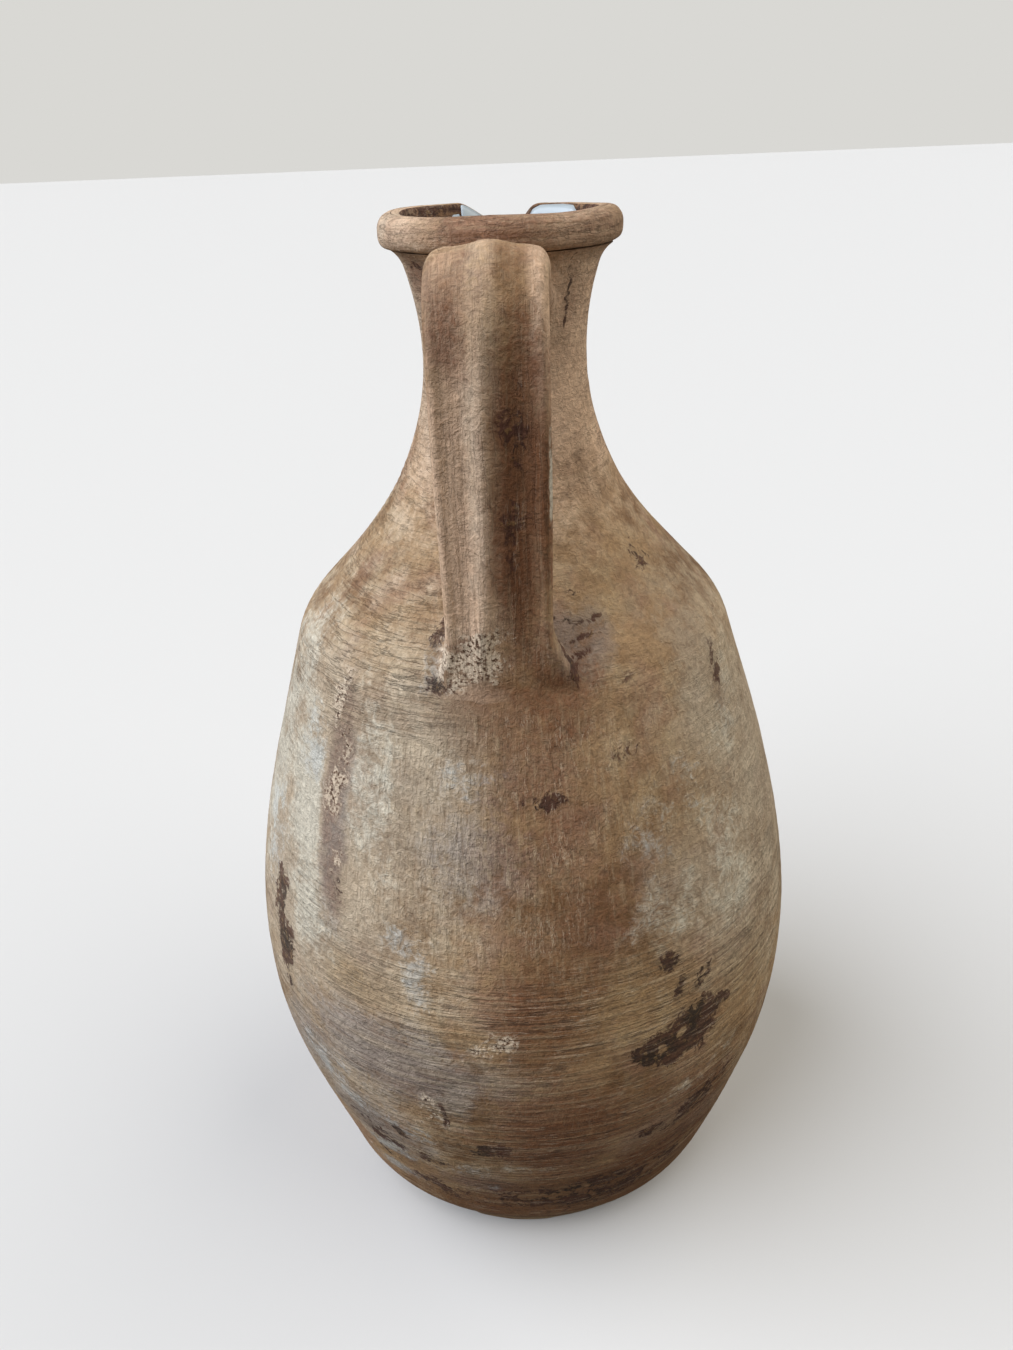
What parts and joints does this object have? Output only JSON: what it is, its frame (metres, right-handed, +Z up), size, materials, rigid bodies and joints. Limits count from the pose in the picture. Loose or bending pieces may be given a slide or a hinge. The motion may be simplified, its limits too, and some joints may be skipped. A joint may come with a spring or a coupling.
{
  "type": "ceramic jug",
  "caption": "Tall unglazed clay jug with a full belly, slim flared neck, collared mouth with a pouring lip, a ribbed strap handle and a white glazed inside.",
  "frame": {"origin": "centre of the flat underside of the base, on the axis the jug was turned about", "axes": "+Z up along the turning axis, -Y towards the strap handle, +Y towards the pouring lip, +X to the right of someone who faces the handle"},
  "size_m": [0.2018, 0.2018, 0.36],
  "materials": {
    "floor_clay": "coarse fired earthenware",
    "body_clay": "unglazed earthenware, slip-washed and weathered",
    "neck_clay": "unglazed earthenware, turned",
    "collar_clay": "unglazed earthenware, turned",
    "handle_clay": "unglazed earthenware, pulled lengthwise",
    "pad_clay": "unglazed earthenware with pale crust",
    "white_glaze": "white gloss glaze"
  },
  "bodies": {
    "root": {"base_disc": "floor_clay", "belly_wall": "body_clay", "shoulder": "body_clay", "neck": "neck_clay", "rim_collar": "collar_clay", "strap_handle": "handle_clay", "handle_root_pad": "pad_clay", "glaze_lining": "white_glaze"}
  },
  "joints": []
}
